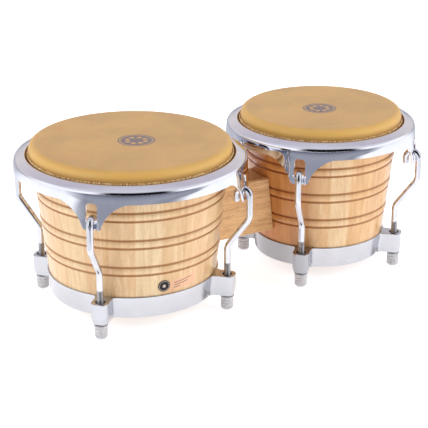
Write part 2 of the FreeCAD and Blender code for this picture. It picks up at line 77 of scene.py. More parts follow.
# Painted shade on the side of the small drum that faces the large one
PAINTED_SHADE_X = (-0.040, -0.074)  # from the drum's axis: where the shade starts and is full
PAINTED_SHADE_DEPTH = 0.85
WARM_PAINTED_SHADE = (0.82, 0.47, 0.17)
GREY_PAINTED_SHADE = (0.60, 0.60, 0.61)

# Head
SKIN_THICKNESS = 0.002
SHOULDER_RADIUS = 0.006  # on the shell, under the skin
SKIN_FOOT_Z = 0.1665
COLLAR_GAP = 0.0002
COLLAR_THICKNESS = 0.0013
COLLAR_FRAY = (0.0032, 0.0004)  # below its edge: where the fraying starts and is full
HOOP_Z = 0.165
HOOP_WIRE_RADIUS = 0.0034
WRAP_RADIUS = 0.0052

# Rim, as distances out from the head's radius
LIP_OUT = 0.003
RIM_OUT = 0.0162
SHEET = 0.0026
RIM_SHOULDER = 0.0048
SHOULDER_DROP = 0.0066  # from the top of the rim to the middle of the shoulder's curve
RIM_SEAT = 0.0035  # flat underside of the lip
LIP_ROLL = 0.002
SKIRT_BOTTOM_Z = 0.156
EDGE_ROUND = 0.0003  # how far the rounded edge of the sheet stands out
SKIRT_CURVE_START_Z = 0.160  # above this the skirt leans in, on a large radius
SKIRT_CURVE_RADIUS = 0.045

# Rim ears, by their half widths and heights
EAR_BULGE = 0.0030  # an ear stands this far out of the skirt
EAR_BULGE_REACH = (0.015, 0.080)  # full out to the first, and gone by the second
EAR_FADE_Z = (0.118, 0.1680)  # the bulge fades out between these heights
EAR_HALF_WIDTH = 0.0108
EAR_MIDDLE = (0.0178, 0.1455)  # half width and height of a point on the sweep
EAR_SWEEP_HALF_WIDTH = 0.036
EAR_CORNER = 0.0045
SLOT_HALF_WIDTH = 0.0058
SLOT_CORNER = 0.0042
SLOT_LOW_CORNER = 0.0012
SLOT_BOTTOM_Z = 0.1366
SLOT_TOP_Z = 0.1565
STRAP_RECESS = 0.0012  # the strap under a slot is pressed back by this much
RIM_CELL = 0.0016  # size of the mesh's cells

# Lugs
ROD_RADIUS = 0.00355
HOOK_RADIUS = 0.0071
HOOK_OUT = 0.0154
HOOK_TIP_Z = 0.126
UPPER_BEND_Z = 0.1075
LOWER_BEND_Z = 0.074
BEND_RADIUS = 0.014
THREAD_TOP_Z = 0.055
THREAD_PITCH = 0.00127
THREAD_DEPTH = 0.00042
ROD_CELL = 0.003
TIP_ROUND = 0.0016

# Bottom ring
RING_WALL = 0.0016
RING_EDGE = 0.0007
RING_FOOT_ROUND = 0.0012
RING_LEVELS = (0.0215, 0.0235, 0.025, 0.0265, 0.030, 0.034, 0.038)
BOSS_TAPER_Z = 0.025  # below this the bosses narrow
BOSS_NOSE = 0.0086
BOSS_HALF_WIDTH = 0.0093
BOSS_CORNER = 0.0060
BOSS_FILLET = 0.0060
BOSS_CELL = 0.0015  # from the flat of a boss's side to the nearest point of either curve
BOSS_FOOT_SETBACK = 0.0012
BOSS_FOOT_NARROWING = 0.0016
BOSS_HOLE_RADIUS = 0.0056

# Nut caps
CAP_ROUND = 0.0042
CAP_WALL_RADIUS = 0.0062
CAP_WELL_RADIUS = 0.0042
CAP_FLOOR = 0.0022
CAP_RIB_START = 0.0054
CAP_RIB_PITCH = 0.0036
CAP_RIB_DEPTH = 0.0006
NUT_BOTTOM_Z = 0.0065


class Drum:
    """Where one drum stands, and its main sizes, read from the frame."""

    def __init__(self, size):
        low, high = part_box(size + "_head_skin")
        self.size = size
        self.x = (low.x + high.x) / 2
        self.radius = high.x - self.x
        self.top = high.z
        self.shell_top = high.z - SKIN_THICKNESS
        self.shoulder_z = self.shell_top - SHOULDER_RADIUS
        self.collar_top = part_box(size + "_head_collar")[1].z
        self.rim_low, self.rim_high = (corner.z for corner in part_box(size + "_rim"))
        self.ring_low, self.ring_high = (corner.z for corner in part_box(size + "_bottom_ring"))
        self.shell_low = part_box(size + "_shell")[0].z
        self.lug_low, self.lug_high = (corner.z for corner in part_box(size + "_lug_1"))
        low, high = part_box(size + "_nut_cap_1")
        self.cap_low, self.cap_high = low.z, high.z
        self.cap_radius = (high.x - low.x) / 2
        self.lug_radius = hypot((low.x + high.x) / 2 - self.x, (low.y + high.y) / 2)
        self.tension_body = size + "_tension_group"

    def lug_place(self, turn):
        """Where the lug at a turn stands, as (x, y)."""
        return self.x + self.lug_radius * cos(turn), self.lug_radius * sin(turn)

    def shell_radius(self, z):
        return self.radius - SKIN_THICKNESS - SHELL_TAPER * (self.shoulder_z - z)


# ---- Shaders ----
class Nodes:
    """A node tree. Any value given to a node may be a number or another node's output."""

    def __init__(self, tree):
        self.tree = tree

    def add(self, kind, *values, **settings):
        node = self.tree.nodes.new("ShaderNode" + kind)
        for name, setting in settings.items():
            setattr(node, name, setting)
        for socket, value in zip(node.inputs, values):
            self.feed(socket, value)
        return node

    def feed(self, socket, value):
        if isinstance(value, bpy.types.NodeSocket):
            self.tree.links.new(value, socket)
        elif value is not None:
            socket.default_value = value

    def feed_all(self, sockets, values):
        for name, value in values.items():
            self.feed(sockets[name], value)

    def math(self, operation, *values):
        return self.add("Math", *values, operation=operation).outputs[0]

    def times(self, first, second):
        return self.math("MULTIPLY", first, second)

    def gap(self, first, second):
        """How far apart two numbers are."""
        return self.math("ABSOLUTE", self.math("SUBTRACT", first, second))

    def shared(self, first, second, share):
        """A share of the first number and the rest of the second."""
        return self.math("ADD", self.times(first, share), self.times(second, 1 - share))

    def length(self, x, y):
        return self.math("SQRT", self.math("ADD", self.times(x, x), self.times(y, y)))

    def vector_math(self, operation, *values):
        node = self.add("VectorMath", *values, operation=operation)
        return node.outputs["Value" if operation in ("LENGTH", "DOT_PRODUCT") else "Vector"]

    def split(self, vector):
        return self.add("SeparateXYZ", vector).outputs

    def remap(self, value, low, high, to_low=0.0, to_high=1.0, smooth=True):
        """A clamped map of low..high to to_low..to_high."""
        kind = "SMOOTHSTEP" if smooth else "LINEAR"
        node = self.add("MapRange", value, low, high, to_low, to_high, interpolation_type=kind)
        return node.outputs[0]

    def noise(self, vector, scale, detail=2.0, roughness=0.5, distortion=0.0):
        node = self.add("TexNoise")
        self.feed_all(node.inputs, {"Vector": vector, "Scale": scale, "Detail": detail,
                                    "Roughness": roughness, "Distortion": distortion})
        return node.outputs["Fac"]

    def scaled(self, vector, x, y, z):
        return self.vector_math("MULTIPLY", vector, (x, y, z))

    def ramp(self, value, *stops):
        """Colours at positions, given as (position, (r, g, b))."""
        node = self.add("ValToRGB", value)
        elements = node.color_ramp.elements
        while len(elements) < len(stops):
            elements.new(1.0)
        for element, (position, colour) in zip(elements, stops):
            element.position = position
            element.color = (*colour, 1.0)
        return node.outputs["Color"]

    def mix(self, factor, first, second, blend="MIX"):
        node = self.add("Mix", data_type="RGBA", blend_type=blend)
        self.feed(node.inputs[0], factor)
        for index, colour in ((6, first), (7, second)):
            self.feed(node.inputs[index], (*colour, 1.0) if isinstance(colour, tuple) else colour)
        return node.outputs[2]

    def stained(self, colour, *stains):
        """Lays colours over a colour, each given as (value, low, high, strength, colour): none of it
        shows where the value is low, and its full strength where the value is high."""
        for value, low, high, strength, stain in stains:
            colour = self.mix(self.remap(value, low, high, 0.0, strength), colour, stain)
        return colour


class Shader(Nodes):
    """A Principled material, placed by object coordinates."""

    def __init__(self, name, fixed):
        self.material = bpy.data.materials.new(name)
        self.material.use_nodes = True
        super().__init__(self.material.node_tree)
        self.surface = self.tree.nodes["Principled BSDF"].inputs
        self.feed_all(self.surface, fixed)
        self.place = self.add("TexCoord").outputs["Object"]
        self.height = self.split(self.place)[2]

    def bump(self, height, distance, strength):
        """Adds relief: distance is the real depth of a height from 0 to 1."""
        node = self.add("Bump")
        self.feed_all(node.inputs, {"Height": height, "Distance": distance, "Strength": strength})
        before = self.surface["Normal"].links
        if before:
            self.tree.links.new(before[0].from_socket, node.inputs["Normal"])
        self.tree.links.new(node.outputs[0], self.surface["Normal"])

    def about(self, centre_x):
        """Object coordinates about a drum's own axis."""
        return self.vector_math("SUBTRACT", self.place, (centre_x, 0.0, 0.0))

    def paint(self, colour, roughness=None):
        self.feed_all(self.surface, {"Base Color": colour, "Roughness": roughness})
        return self.material


def groove_mask(look, z):
    """1 in the turned grooves beside the beads, 0 elsewhere."""
    nearest = 1.0
    for bead_z in BEAD_HEIGHTS:
        from_groove = look.gap(look.gap(z, bead_z), GROOVE_OFFSET)
        nearest = look.math("MINIMUM", from_groove, nearest)
    return look.remap(nearest, *GROOVE_HALF_WIDTHS)


def label_mask(look, turn, z):
    """Soft-edged patch of tinted varnish beside the badge, and three plain rules printed on it."""
    centre = radians(LABEL_TURN)
    across = look.remap(look.gap(turn, centre), *map(radians, LABEL_HALF_TURNS))
    slant = look.math("SUBTRACT", z, look.times(turn, LABEL_SLANT))
    level = look.math("SUBTRACT", slant, LABEL_Z - LABEL_SLANT * centre)
    patch = look.times(across, look.remap(look.math("ABSOLUTE", level), *LABEL_HALF_HEIGHTS))
    rules = 0.0
    for height, start, end in LABEL_RULES:
        middle, half = radians((start + end) / 2), radians((end - start) / 2)
        along = look.remap(look.gap(turn, middle), half, half - RULE_END_FADE)
        line = look.remap(look.gap(level, height), *RULE_HALF_WIDTHS)
        rules = look.math("MAXIMUM", rules, look.times(along, line))
    return patch, rules


def shell_wood(drum, pale, brown):
    """Lacquered staves with upright grain, each stave its own tint, and turned grooves darkened partly
    by stain and partly by painted shade; on the small drum, painted shade on the side that faces the
    large one.
    """
    look = Shader(drum.size + "_stave_wood", {"Coat Weight": 0.35, "Coat Roughness": 0.16, "IOR": 1.5})
    place = look.about(drum.x)
    x, y, z = look.split(place)
    turn = look.math("ARCTAN2", y, x)
    staves = look.math("MULTIPLY_ADD", turn, STAVE_COUNT / tau, STAVE_COUNT / 2)
    stave = look.math("FLOOR", staves)
    tint = look.add("TexWhiteNoise", None, stave, noise_dimensions="1D").outputs["Value"]
    raised = look.add("CombineXYZ", None, None, look.times(tint, 3.0)).outputs[0]
    own = look.vector_math("ADD", look.scaled(place, 1.0, 1.0, 0.018), raised)
    broad = look.noise(own, 95.0, 3.0, 0.55, 0.4)
    fine = look.noise(own, 620.0, 3.0, 0.65)
    pores = look.noise(look.scaled(place, 1.0, 1.0, 0.09), 1500.0, 1.0)
    bands = look.noise(own, 240.0, 2.0, 0.5)
    between = tuple((2 * p + t) / 3 for p, t in zip(pale, brown))
    grain = look.ramp(look.shared(broad, fine, 0.62), (0.36, brown), (0.48, between), (0.60, pale))
    streaked = look.stained(
        grain, (tint, 0.15, 0.95, 0.42, (0.78, 0.48, 0.25)), (tint, 0.28, 0.0, 0.32, (0.92, 0.77, 0.51)),
        (bands, 0.46, 0.32, 0.24, (0.95, 0.78, 0.52)), (bands, 0.54, 0.68, 0.24, (0.55, 0.30, 0.12)),
        (pores, 0.62, 0.72, 0.40, (0.42, 0.23, 0.10)))
    # Darker brown in the turned grooves: partly a darker stain, partly painted shade in the hollows
    groove_stain_and_shade = look.times(groove_mask(look, z), 0.80)
    colour = look.mix(groove_stain_and_shade, streaked, (0.39, 0.160, 0.045))
    # Painted shade, warm, on the small drum's side that faces the large one
    colour = add_painted_shade(look, drum, colour, WARM_PAINTED_SHADE)
    if drum.size == "large":
        patch, rules = label_mask(look, turn, z)
        colour = look.mix(look.times(patch, 0.42), colour, (0.82, 0.38, 0.26))
        colour = look.mix(look.times(rules, 0.85), colour, (0.07, 0.035, 0.03))
    look.bump(fine, 0.00006, 0.5)
    look.bump(broad, 0.00010, 0.5)
    return look.paint(colour, look.remap(fine, 0.2, 0.8, 0.30, 0.46))


def add_painted_shade(look, drum, colour, tint):
    """Deepens a colour with painted shade on the side of the small drum that faces the large one."""
    if drum.size == "large":
        return colour
    x = look.split(look.about(drum.x))[0]
    return look.mix(look.remap(x, *PAINTED_SHADE_X, 0.0, PAINTED_SHADE_DEPTH), colour, tint, "MULTIPLY")


def plank_wood(name, pale, dark, roughness):
    """Straight-grained hardwood with the grain along X."""
    look = Shader(name, {"Coat Weight": 0.25, "Coat Roughness": 0.2})
    along = look.scaled(look.place, 0.07, 1.0, 1.0)
    broad = look.noise(along, 130.0, 4.0, 0.6, 0.8)
    fine = look.noise(along, 700.0, 3.0, 0.6)
    pores = look.noise(look.scaled(look.place, 0.11, 1.0, 1.0), 1500.0, 1.0)
    grain = look.ramp(look.shared(broad, fine, 0.6), (0.40, dark), (0.59, pale))
    colour = look.stained(grain, (pores, 0.58, 0.68, 0.32, tuple(0.35 * c for c in dark)))
    look.bump(fine, 0.00012, 0.6)
    return look.paint(colour, look.remap(fine, 0.2, 0.8, roughness - 0.06, roughness + 0.1))


def emblem_mask(look, place, centre, radius):
    """A plain printed rosette: a ring round a disc with eight open petals."""
    x, y, _ = look.split(look.vector_math("SUBTRACT", place, (*centre, 0.0)))
    reach = look.math("DIVIDE", look.length(x, y), radius)
    ring = look.remap(look.gap(reach, 0.955), 0.055, 0.035)
    disc = look.remap(reach, 0.86, 0.83)
    turn = look.math("ARCTAN2", y, x)
    wave = look.math("ABSOLUTE", look.math("COSINE", look.times(turn, 4.0)))
    petal = look.math("SUBTRACT", look.times(wave, 0.20), look.gap(reach, 0.50))
    printed = look.times(disc, look.remap(petal, 0.07, 0.04))
    return look.math("MAXIMUM", ring, printed)


def rawhide(drum, emblem_centre, emblem_radius):
    """Tan skin, clouded and flecked, amber where it turns over the shoulder, with a worn print."""
    look = Shader(drum.size + "_rawhide", {"Subsurface Weight": 0.08, "Subsurface Scale": 0.002,
                                           "Subsurface Radius": (1.0, 0.5, 0.2), "IOR": 1.45})
    place = look.about(drum.x)
    x, y, z = look.split(place)
    reach = look.length(x, y)
    clouds = look.noise(place, 24.0, 5.0, 0.55, 0.6)
    blotches = look.noise(place, 11.0, 3.0, 0.5, 1.2)
    fibres = look.noise(look.scaled(place, 1.0, 0.45, 1.0), 900.0, 3.0, 0.7)
    specks = look.noise(place, 420.0, 2.0, 0.6)
    base = look.ramp(clouds, (0.36, (0.555, 0.316, 0.094)), (0.50, (0.607, 0.358, 0.111)),
                     (0.65, (0.665, 0.400, 0.130)))
    colour = look.stained(
        base, (blotches, 0.56, 0.74, 0.55, (0.62, 0.29, 0.085)),
        (fibres, 0.35, 0.70, 0.22, (0.40, 0.225, 0.085)),
        (specks, 0.66, 0.74, 0.35, (0.33, 0.175, 0.055)),
        (reach, drum.radius - 0.010, drum.radius - 0.001, 0.80, (0.72, 0.43, 0.105)),
        (z, drum.shoulder_z + 0.003, drum.shoulder_z - 0.004, 0.65, (0.40, 0.19, 0.035)))
    wear = look.remap(look.noise(place, 700.0, 3.0, 0.7), 0.34, 0.50, 0.55, 0.92)
    printed = look.times(emblem_mask(look, place, emblem_centre, emblem_radius), wear)
    on_top = look.remap(z, drum.top - 0.0012, drum.top - 0.0006)
    colour = look.mix(look.times(printed, on_top), colour, (0.115, 0.10, 0.14))
    look.bump(fibres, 0.00008, 0.5)
    look.bump(clouds, 0.0006, 0.35)
    return look.paint(colour, look.remap(clouds, 0.3, 0.7, 0.30, 0.40))


def cut_skin(drum):
    """The rough cut edge of the skin, with pale fibres."""
    look = Shader(drum.size + "_cut_skin", {"Subsurface Weight": 0.1, "Subsurface Scale": 0.002})
    fibres = look.noise(look.scaled(look.place, 1.0, 1.0, 0.30), 520.0, 3.0, 0.7)
    clouds = look.noise(look.place, 60.0, 3.0)
    base = look.ramp(clouds, (0.3, (0.34, 0.17, 0.045)), (0.7, (0.50, 0.28, 0.09)))
    edge = look.remap(look.height, drum.collar_top - 0.0030, drum.collar_top - 0.0012)
    pale = look.times(edge, look.remap(fibres, 0.44, 0.58, 0.0, 0.90))
    colour = look.mix(pale, base, (0.95, 0.72, 0.38))
    look.bump(fibres, 0.0003, 0.8)
    return look.paint(colour, look.remap(fibres, 0.3, 0.7, 0.55, 0.8))


def polished_metal(name, tint, low, high):
    """Chrome with faint cloudy smears in its gloss and a slight unevenness under the plating."""
    look = Shader(name, {"Metallic": 1.0})
    smears = look.noise(look.place, 55.0, 4.0, 0.6, 1.0)
    colour = look.ramp(smears, (0.25, tuple(0.93 * c for c in tint)), (0.75, tint))
    look.bump(look.noise(look.place, 42.0, 1.0), 0.00012, 0.4)
    return look.paint(colour, look.remap(smears, 0.3, 0.8, low, high))


def rod_chrome():
    """Chromed rod whose cut thread is duller and holds dark oil between its crests."""
    look = Shader("rod_chrome", {"Metallic": 1.0})
    smears = look.noise(look.place, 90.0, 3.0)
    thread = look.remap(look.height, THREAD_TOP_Z + 0.0004, THREAD_TOP_Z - 0.0006)
    film = look.remap(look.noise(look.place, 240.0, 2.0), 0.3, 0.7, 0.35, 0.75)
    bright = look.ramp(smears, (0.3, (0.60, 0.61, 0.655)), (0.7, (0.67, 0.68, 0.725)))
    colour = look.mix(look.times(thread, film), bright, (0.23, 0.21, 0.19))
    gloss = look.remap(smears, 0.3, 0.7, 0.05, 0.11)
    look.bump(smears, 0.00010, 0.4)
    return look.paint(colour, look.math("MULTIPLY_ADD", thread, 0.22, gloss))


def turned_aluminium(drum):
    """Cast ring polished on a lathe: level hairlines and a satin sheen; on the small drum, painted shade
    on the side that faces the large one.
    """
    look = Shader(drum.size + "_turned_aluminium", {"Metallic": 1.0})
    lines = look.noise(look.scaled(look.place, 0.02, 0.02, 1.0), 2600.0, 2.0, 0.6)
    patches = look.noise(look.place, 35.0, 3.0, 0.6)
    base = look.ramp(patches, (0.3, (0.53, 0.54, 0.575)), (0.7, (0.60, 0.61, 0.65)))
    colour = look.stained(base, (lines, 0.35, 0.65, 0.14, (0.44, 0.45, 0.485)))
    look.bump(lines, 0.00002, 0.35)
    # Painted shade, grey, on the small ring's side that faces the large drum
    return look.paint(add_painted_shade(look, drum, colour, GREY_PAINTED_SHADE),
                      look.remap(patches, 0.3, 0.7, 0.19, 0.27))


def plated_steel():
    """Zinc plating with a fine crystalline spotting."""
    look = Shader("plated_steel", {"Metallic": 1.0})
    spots = look.noise(look.place, 300.0, 4.0, 0.7)
    colour = look.ramp(spots, (0.3, (0.42, 0.41, 0.40)), (0.7, (0.60, 0.60, 0.61)))
    look.bump(spots, 0.00006, 0.5)
    return look.paint(colour, look.remap(spots, 0.3, 0.7, 0.28, 0.42))


def moulded(name, dark, pale, low, high):
    """Matte moulded rubber or plastic with dust in its texture."""
    look = Shader(name, {"Specular IOR Level": 0.4})
    dust = look.noise(look.place, 260.0, 4.0, 0.65)
    colour = look.ramp(dust, (0.3, dark), (0.7, pale))
    look.bump(look.noise(look.place, 2200.0, 2.0), 0.00005, 0.6)
    return look.paint(colour, look.remap(dust, 0.3, 0.7, low, high))


def badge_enamel(drum):
    """Black enamel disc with a thin pale ring round a plain pale dot."""
    look = Shader("badge_enamel", {"Specular IOR Level": 0.3})
    low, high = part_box("badge")
    centre = (low + high) / 2
    radius = (high.z - low.z) / 2
    x, y, z = look.split(look.vector_math("SUBTRACT", look.place, tuple(centre)))
    facing = atan2(centre.y, centre.x - drum.x)
    across = look.math("ADD", look.times(x, -sin(facing)), look.times(y, cos(facing)))
    reach = look.length(across, z)
    ring = look.remap(look.gap(reach, 0.84 * radius), 0.0003, 0.00015)
    dot = look.remap(reach, 0.30 * radius, 0.26 * radius)
    pale = look.math("MAXIMUM", ring, dot)
    grit = look.noise(look.place, 900.0, 2.0)
    black = look.ramp(grit, (0.3, (0.004, 0.003, 0.003)), (0.7, (0.012, 0.009, 0.008)))
    colour = look.mix(pale, black, (0.50, 0.44, 0.38))
    look.bump(pale, 0.00015, 0.7)
    return look.paint(colour, look.remap(grit, 0.3, 0.7, 0.22, 0.34))


# ---- Mesh helpers ----
def show(name, data):
    """A new object in the scene for a mesh, a light or a camera."""
    thing = bpy.data.objects.new(name, data)
    bpy.context.scene.collection.objects.link(thing)
    return thing


def new_mesh(name, vertices, faces, material):
    mesh = bpy.data.meshes.new(name)
    mesh.from_pydata(vertices, [], faces)
    mesh.materials.append(material)
    return mesh


def arc(centre, radius, start, end, steps):
    """Points on an arc in a profile plane, from one angle to another in degrees."""
    turns = [radians(start + (end - start) * k / steps) for k in range(steps + 1)]
    return [(centre[0] + radius * cos(a), centre[1] + radius * sin(a)) for a in turns]


def turned(x, y, turn):
    """A point turned about the origin."""
    return x * cos(turn) - y * sin(turn), x * sin(turn) + y * cos(turn)


def smooth_step(value, low, high):
    share = min(1.0, max(0.0, (value - low) / (high - low)))
    return share * share * (3 - 2 * share)


def lathe(profile, steps, centre_x, centre_y=0.0, shift=None):
    """Vertices and faces of a closed (radius, z) profile turned about an upright axis.
    shift(radius, turn, z) may move a point, and gives its new radius and z."""
    vertices, rows = [], []
    for radius, z in profile:
        start = len(vertices)
        if radius == 0.0:
            vertices.append((centre_x, centre_y, z))
            rows.append([start] * steps)
            continue
        for k in range(steps):
            turn = tau * k / steps
            r, height = shift(radius, turn, z) if shift else (radius, z)
            vertices.append((centre_x + r * cos(turn), centre_y + r * sin(turn), height))
        rows.append(list(range(start, start + steps)))
    return vertices, stitched(rows, closed_loop=True)


def stitched(rows, closed_rows=True, closed_loop=False):
    """Quads, or triangles at a pole, between neighbouring rows of vertex numbers."""
    faces = []
    pairs = list(zip(rows, rows[1:])) + ([(rows[-1], rows[0])] if closed_loop else [])
    for lower, upper in pairs:
        count = len(lower)
        for k in range(count if closed_rows else count - 1):
            following = (k + 1) % count
            corners = list(dict.fromkeys((lower[k], lower[following], upper[following], upper[k])))
            if len(corners) > 2:
                faces.append(corners)
    return faces


def build(name, vertices, faces, material, sharp, weld=0.0):
    """A finished mesh object with outward normals and smooth shading between sharp edges."""
    mesh = new_mesh(name, vertices, faces, material)
    work = bmesh.new()
    work.from_mesh(mesh)
    if weld:
        bmesh.ops.remove_doubles(work, verts=work.verts, dist=weld)
    bmesh.ops.recalc_face_normals(work, faces=work.faces)
    work.to_mesh(mesh)
    work.free()
    mesh.shade_smooth()
    mesh.set_sharp_from_angle(angle=radians(sharp))
    piece = show(name, mesh)
    return piece


def wavering(turn, scale, height):
    """Gentle noise round a drum, from -1 to 1, that joins up with itself."""
    return noise.noise(Vector((scale * cos(turn), scale * sin(turn), height)))


# ---- Heads ----
def make_head(drum, material):
    """The skin: a flat top, a rounded shoulder and the stretched part that runs down to the hoop."""
    radius = drum.radius
    centre = (radius - SKIN_THICKNESS - SHOULDER_RADIUS, drum.shoulder_z)
    top = [(centre[0] * k / 24, drum.top) for k in range(24)]
    shoulder = arc(centre, SHOULDER_RADIUS + SKIN_THICKNESS, 90, 0, 14)
    side = [(radius, drum.shoulder_z - 0.002 * k) for k in range(1, 5)]
    foot = [(radius - 0.0003, SKIN_FOOT_Z + 0.0003), (radius - 0.001, SKIN_FOOT_Z),
            (radius - SKIN_THICKNESS, SKIN_FOOT_Z + 0.0008)]
    inner = [(radius - SKIN_THICKNESS, drum.shoulder_z - 0.002 * k) for k in (3, 1)]
    under = arc(centre, SHOULDER_RADIUS, 0, 90, 8)
    profile = top + shoulder + side + foot + inner + under + [(0.0, drum.shell_top)]
    top_wave, side_wave = 0.00010, 0.00012  # both only take from the skin, so it stays in its box

    def shift(r, turn, z):
        if z > drum.top - 0.0001:
            return r, z + top_wave * (wavering(turn, 30 * r, 9.0) - 1)
        if r >= centre[0] and (r > radius - 0.0015 or z > drum.shell_top):
            return r + side_wave * (wavering(turn, 5.0, 40 * z + drum.x) - 1), z
        return r, z

    vertices, faces = lathe(profile, 288, drum.x, shift=shift)
    head = build(drum.size + "_head", vertices, faces, material, sharp=60)
    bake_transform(head)
    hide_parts(drum.size + "_head_skin")


def make_collar(drum, material):
    """Skin wrapped round the flesh hoop, with a frayed edge that stands up inside the lip."""
    inner = drum.radius + COLLAR_GAP
    outer = inner + COLLAR_THICKNESS
    centre = (inner + WRAP_RADIUS, HOOP_Z)
    edge = drum.collar_top
    joint = degrees(acos((outer - centre[0]) / WRAP_RADIUS))
    upstand = [(inner, HOOP_Z + 0.003), (inner, edge - 0.0030), (inner, edge - 0.0014),
               (inner + 0.0002, edge - 0.0005), (inner + 0.0006, edge - 0.0001),
               (outer - 0.0005, edge - 0.0004), (outer - 0.0001, edge - 0.0012), (outer, edge - 0.0030)]
    profile = (upstand + arc(centre, WRAP_RADIUS, joint, -65, 22)
               + arc(centre, HOOP_WIRE_RADIUS, -65, 245, 26)
               + arc(centre, WRAP_RADIUS, 245, 180, 8))
    fray_start, fray_full = (edge - below for below in COLLAR_FRAY)

    def shift(r, turn, z):
        frayed = smooth_step(z, fray_start, fray_full)
        lean = 0.0003 * wavering(turn, 70, 3.1) - 0.0002
        sink = 0.0007 - 0.0004 * wavering(turn, 26, drum.x) - 0.0006 * wavering(turn, 95, 7.7)
        return r + frayed * lean, z - frayed * sink

    vertices, faces = lathe(profile, 900, drum.x, shift=shift)
    collar = build(drum.size + "_collar", vertices, faces, material, sharp=50)
    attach(collar, drum.tension_body)
    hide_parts(drum.size + "_head_collar")


# ---- Rims ----
def without_repeats(points):
    kept = []
    for p in points:
        if not kept or dist(p, kept[-1]) > 1e-6:
            kept.append(p)
    return kept


def through(first, middle, last, steps):
    """Points on the arc through three points, first to last."""
    (ax, ay), (bx, by), (cx, cy) = first, middle, last
    a, b, c = (x * x + y * y for x, y in (first, middle, last))
    d = 2 * (ax * (by - cy) + bx * (cy - ay) + cx * (ay - by))
    centre = ((a * (by - cy) + b * (cy - ay) + c * (ay - by)) / d,
              (a * (cx - bx) + b * (ax - cx) + c * (bx - ax)) / d)
    start, end = (degrees(atan2(y - centre[1], x - centre[0])) for x, y in (first, last))
    return arc(centre, dist(centre, first), start, end, steps)


def divided(start, end, cell):
    """Points from start up to but not including end, about one cell apart."""
    steps = max(1, round(dist(start, end) / cell))
    return [(start[0] + (end[0] - start[0]) * k / steps, start[1] + (end[1] - start[1]) * k / steps)
            for k in range(steps)]


def skirt_edge(half, rim_low):
    """Lower edge of a quarter of the rim, from -half to half, round one ear."""
    low, foot = rim_low + EDGE_ROUND, SKIRT_BOTTOM_Z + EDGE_ROUND
    inset = EAR_HALF_WIDTH - EAR_CORNER - EDGE_ROUND
    side = (inset + EAR_CORNER, low + EAR_CORNER)
    sweep_end = (EAR_SWEEP_HALF_WIDTH, foot)
    right = ([(0.0, low)] + divided((RIM_CELL, low), (inset, low), RIM_CELL)
             + arc((inset, low + EAR_CORNER), EAR_CORNER, -90, 0, 6)[:-1]
             + through(side, EAR_MIDDLE, sweep_end, 26)[:-1]
             + divided(sweep_end, (half, foot), RIM_CELL) + [(half, foot)])
    return without_repeats([(-x, z) for x, z in reversed(right[1:])] + right)


def slot_edge():
    """Closed outline of a slot, grown by the rounding of the sheet's edge."""
    half = SLOT_HALF_WIDTH + EDGE_ROUND
    low = SLOT_BOTTOM_Z - EDGE_ROUND
    high = SLOT_TOP_Z - SLOT_CORNER
    radius = SLOT_CORNER + EDGE_ROUND
    inset = half - SLOT_LOW_CORNER
    side_low = low + SLOT_LOW_CORNER
    return without_repeats(
        arc((inset, side_low), SLOT_LOW_CORNER, -90, 0, 3)
        + divided((half, side_low + RIM_CELL), (half, high), RIM_CELL)
        + arc((half - radius, high), radius, 0, 90, 8)
        + arc((radius - half, high), radius, 90, 180, 8)
        + divided((-half, high - RIM_CELL), (-half, side_low), RIM_CELL)
        + arc((-inset, side_low), SLOT_LOW_CORNER, 180, 270, 3)
        + divided((RIM_CELL - inset, low), (inset, low), RIM_CELL))


def inside(point, outline):
    """True if a point lies inside a closed outline."""
    x, z = point
    within = False
    for (ax, az), (bx, bz) in zip(outline, outline[1:] + outline[:1]):
        if (az > z) != (bz > z) and x < (bx - ax) * (z - az) / (bz - az) + ax:
            within = not within
    return within


def outward(outline, closed):
    """For each point of an outline, the direction square to it and to its right."""
    first, last = outline[:1], outline[-1:]
    padded = last + outline + first if closed else first + outline + last
    normals = []
    for before, after in zip(padded, padded[2:]):
        length = dist(before, after)
        normals.append(((after[1] - before[1]) / length, (before[0] - after[0]) / length))
    return normals


def ear_offset(along, z):
    """How far out of the plain skirt the rim's surface stands at a place near an ear."""
    along = abs(along)
    share = (1 - smooth_step(along, *EAR_BULGE_REACH)) * (1 - smooth_step(z, *EAR_FADE_Z))
    strap = 1 - smooth_step(along, SLOT_HALF_WIDTH - 0.0016, SLOT_HALF_WIDTH + 0.0012)
    strap *= 1 - smooth_step(z, SLOT_BOTTOM_Z - 0.0010, SLOT_BOTTOM_Z + 0.0024)
    return EAR_BULGE * share - STRAP_RECESS * strap


def skirt_lean(z):
    """How far in the skirt has leaned at a height."""
    return max(0.0, z - SKIRT_CURVE_START_Z) ** 2 / (2 * SKIRT_CURVE_RADIUS)


def flat_skirt(half, rim_low, skirt_top, columns):
    """A quarter of the skirt laid flat: its lower edge, its slot, its points and its triangles."""
    lower, slot = skirt_edge(half, rim_low), slot_edge()
    top = [(half - 2 * half * k / columns, skirt_top) for k in range(columns + 1)]
    height = skirt_top - lower[0][1]
    side_steps = round(height / RIM_CELL)
    heights = [lower[0][1] + height * k / side_steps for k in range(1, side_steps)]
    outline = lower + [(half, z) for z in heights] + top + [(-half, z) for z in reversed(heights)]

    def in_sheet(place):
        return inside(place, outline) and not inside(place, slot)

    rows = round((skirt_top - rim_low) / RIM_CELL)
    grid = [(x, skirt_top - row * RIM_CELL) for row in range(1, rows + 1) for x, _ in top[1:-1]]
    grid = [place for place in grid if in_sheet(place)
            and min(dist(place, p) for p in lower + slot) > 0.6 * RIM_CELL]
    count, holes = len(outline), len(slot)
    edges = [(k, (k + 1) % count) for k in range(count)]
    edges += [(count + k, count + (k + 1) % holes) for k in range(holes)]
    points, _, triangles, *_ = geometry.delaunay_2d_cdt(
        [Vector(p) for p in outline + slot + grid], edges, [], 0, 1e-7)
    kept = [t for t in triangles if in_sheet(sum((points[k] for k in t), Vector((0, 0))) / len(t))]
    return lower, slot, points, kept


